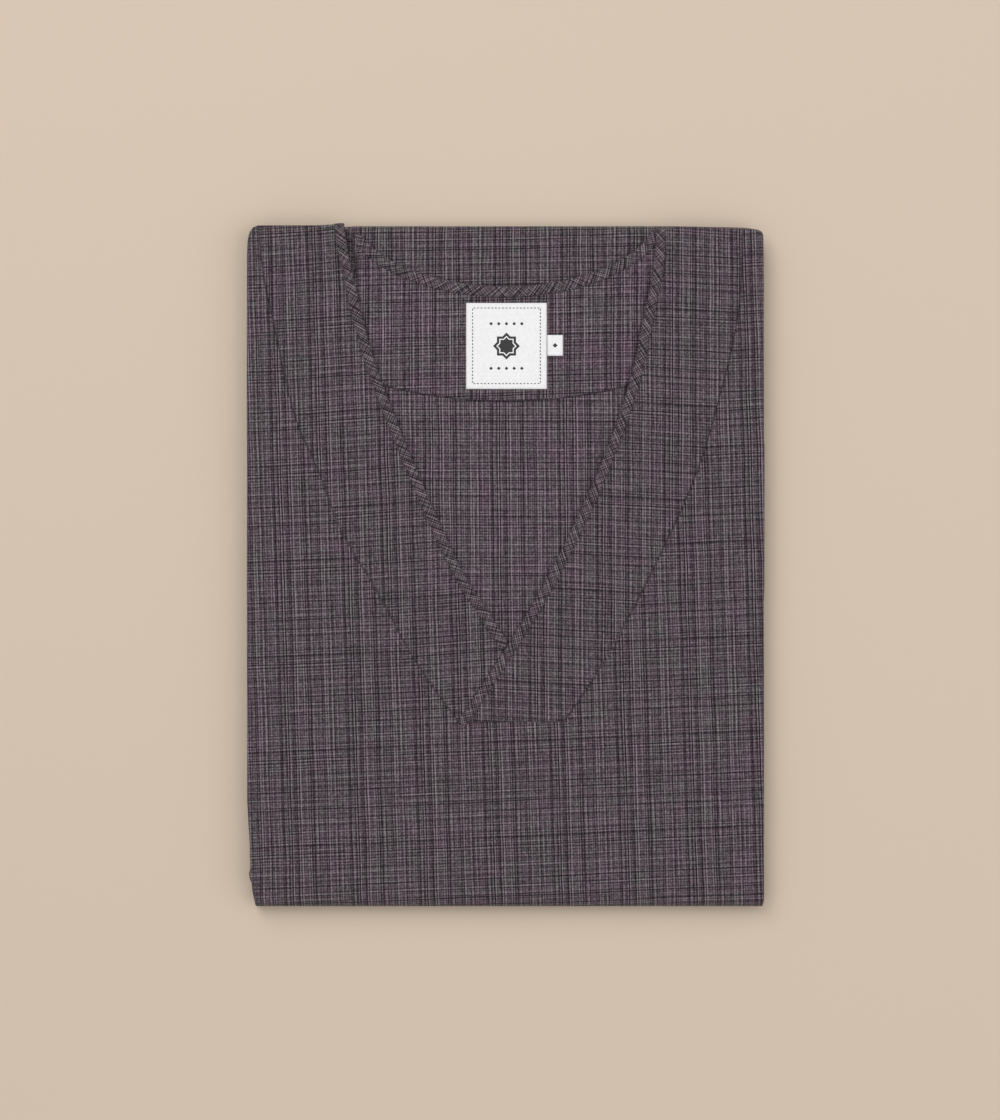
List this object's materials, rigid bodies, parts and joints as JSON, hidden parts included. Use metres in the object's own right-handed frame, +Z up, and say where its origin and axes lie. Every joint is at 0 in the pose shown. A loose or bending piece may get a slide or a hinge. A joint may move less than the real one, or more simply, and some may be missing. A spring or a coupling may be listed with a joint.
{
  "type": "folded jalabiya",
  "caption": "Long loose robe of dark checked cloth with a bound V neck and inset plastron, folded flat into a rectangle for the shelf",
  "frame": {"origin": "on the surface it lies on, under the middle of the folded robe", "axes": "+X across the chest to the right as seen from above, +Y towards the neck, +Z up"},
  "size_m": [0.3364, 0.4448, 0.0182],
  "materials": {
    "cloth": "matt fine plaid weave",
    "cloth_inside": "matt fine plaid weave, inner side",
    "bias_binding": "the same cloth cut on the bias",
    "label": "white woven satin, stitched"
  },
  "bodies": {
    "root": {"folded_layers": "cloth", "front_skirt_fold": "cloth", "back_body": "cloth_inside", "back_facing": "cloth_inside", "neck_binding_back": "bias_binding", "neck_label": "label", "size_tab": "label", "front_body": "cloth", "plastron_left": "cloth", "plastron_right": "cloth", "neck_binding_left": "bias_binding", "neck_binding_right": "bias_binding"}
  },
  "joints": []
}
